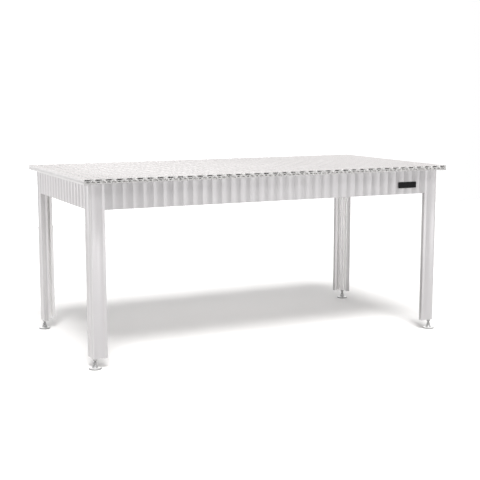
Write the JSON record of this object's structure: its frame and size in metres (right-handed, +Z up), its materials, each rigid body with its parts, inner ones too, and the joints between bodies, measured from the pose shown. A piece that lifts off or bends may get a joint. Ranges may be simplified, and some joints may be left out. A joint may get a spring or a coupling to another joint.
{
  "type": "assembly table",
  "caption": "Rectangular workshop table with a slotted aluminium plank top, fluted aprons, open L-shaped legs and adjustable levelling feet.",
  "frame": {"origin": "on the floor, under the middle of the top", "axes": "+X along the front edge to the right, +Y to the back, +Z up"},
  "size_m": [1.99, 1, 0.89],
  "materials": {
    "plank_aluminium": "satin, natural anodised",
    "apron_aluminium": "satin, natural anodised",
    "leg_aluminium": "satin, natural anodised",
    "bracket_aluminium": "mill finish",
    "screw_steel": "zinc plated",
    "foot_steel": "zinc plated",
    "plate_black": "satin black, bare"
  },
  "bodies": {
    "frame": {"top_plank_1": "plank_aluminium", "top_plank_2": "plank_aluminium", "top_plank_3": "plank_aluminium", "top_plank_4": "plank_aluminium", "top_plank_5": "plank_aluminium", "top_plank_6": "plank_aluminium", "top_plank_7": "plank_aluminium", "end_plank_left": "plank_aluminium", "end_plank_right": "plank_aluminium", "apron_front": "apron_aluminium", "apron_rear": "apron_aluminium", "apron_left": "apron_aluminium", "apron_right": "apron_aluminium", "leg_front_left": "leg_aluminium", "leg_front_right": "leg_aluminium", "leg_rear_left": "leg_aluminium", "leg_rear_right": "leg_aluminium", "corner_bracket_front_left": "bracket_aluminium", "corner_bracket_front_right": "bracket_aluminium", "corner_bracket_rear_left": "bracket_aluminium", "corner_bracket_rear_right": "bracket_aluminium", "screw_long_leg_front_left": "screw_steel", "screw_long_apron_front_left": "screw_steel", "screw_short_leg_front_left": "screw_steel", "screw_short_apron_front_left": "screw_steel", "screw_long_leg_front_right": "screw_steel", "screw_long_apron_front_right": "screw_steel", "screw_short_leg_front_right": "screw_steel", "screw_short_apron_front_right": "screw_steel", "screw_long_leg_rear_left": "screw_steel", "screw_long_apron_rear_left": "screw_steel", "screw_short_leg_rear_left": "screw_steel", "screw_short_apron_rear_left": "screw_steel", "screw_long_leg_rear_right": "screw_steel", "screw_long_apron_rear_right": "screw_steel", "screw_short_leg_rear_right": "screw_steel", "screw_short_apron_rear_right": "screw_steel", "support_angle_front": "bracket_aluminium", "support_angle_rear": "bracket_aluminium", "angle_screw_front_1": "screw_steel", "angle_screw_front_2": "screw_steel", "angle_screw_front_3": "screw_steel", "angle_screw_rear_1": "screw_steel", "angle_screw_rear_2": "screw_steel", "angle_screw_rear_3": "screw_steel", "name_plate": "plate_black"},
    "nut_front_left": {"lock_nut_front_left": "foot_steel"},
    "stud_front_left": {"foot_stud_front_left": "foot_steel"},
    "pad_front_left": {"foot_pad_front_left": "foot_steel"},
    "nut_front_right": {"lock_nut_front_right": "foot_steel"},
    "stud_front_right": {"foot_stud_front_right": "foot_steel"},
    "pad_front_right": {"foot_pad_front_right": "foot_steel"},
    "nut_rear_left": {"lock_nut_rear_left": "foot_steel"},
    "stud_rear_left": {"foot_stud_rear_left": "foot_steel"},
    "pad_rear_left": {"foot_pad_rear_left": "foot_steel"},
    "nut_rear_right": {"lock_nut_rear_right": "foot_steel"},
    "stud_rear_right": {"foot_stud_rear_right": "foot_steel"},
    "pad_rear_right": {"foot_pad_rear_right": "foot_steel"}
  },
  "joints": [
    {"name": "lock_nut_travel_front_left", "type": "slide", "parent": "frame", "child": "nut_front_left", "axis": [0, 0, 1], "range_m": [-0.01, 0]},
    {"name": "foot_height_front_left", "type": "slide", "parent": "frame", "child": "stud_front_left", "axis": [0, 0, 1], "range_m": [-0.025, 0]},
    {"name": "pad_tilt_front_left", "type": "hinge", "parent": "stud_front_left", "child": "pad_front_left", "pos_m": [-0.945, -0.45, 0.015], "axis": [1, 0, 0], "range_deg": [-8, 8]},
    {"name": "lock_nut_travel_front_right", "type": "slide", "parent": "frame", "child": "nut_front_right", "axis": [0, 0, 1], "range_m": [-0.01, 0]},
    {"name": "foot_height_front_right", "type": "slide", "parent": "frame", "child": "stud_front_right", "axis": [0, 0, 1], "range_m": [-0.025, 0]},
    {"name": "pad_tilt_front_right", "type": "hinge", "parent": "stud_front_right", "child": "pad_front_right", "pos_m": [0.945, -0.45, 0.015], "axis": [1, 0, 0], "range_deg": [-8, 8]},
    {"name": "lock_nut_travel_rear_left", "type": "slide", "parent": "frame", "child": "nut_rear_left", "axis": [0, 0, 1], "range_m": [-0.01, 0]},
    {"name": "foot_height_rear_left", "type": "slide", "parent": "frame", "child": "stud_rear_left", "axis": [0, 0, 1], "range_m": [-0.025, 0]},
    {"name": "pad_tilt_rear_left", "type": "hinge", "parent": "stud_rear_left", "child": "pad_rear_left", "pos_m": [-0.945, 0.45, 0.015], "axis": [1, 0, 0], "range_deg": [-8, 8]},
    {"name": "lock_nut_travel_rear_right", "type": "slide", "parent": "frame", "child": "nut_rear_right", "axis": [0, 0, 1], "range_m": [-0.01, 0]},
    {"name": "foot_height_rear_right", "type": "slide", "parent": "frame", "child": "stud_rear_right", "axis": [0, 0, 1], "range_m": [-0.025, 0]},
    {"name": "pad_tilt_rear_right", "type": "hinge", "parent": "stud_rear_right", "child": "pad_rear_right", "pos_m": [0.945, 0.45, 0.015], "axis": [1, 0, 0], "range_deg": [-8, 8]}
  ]
}
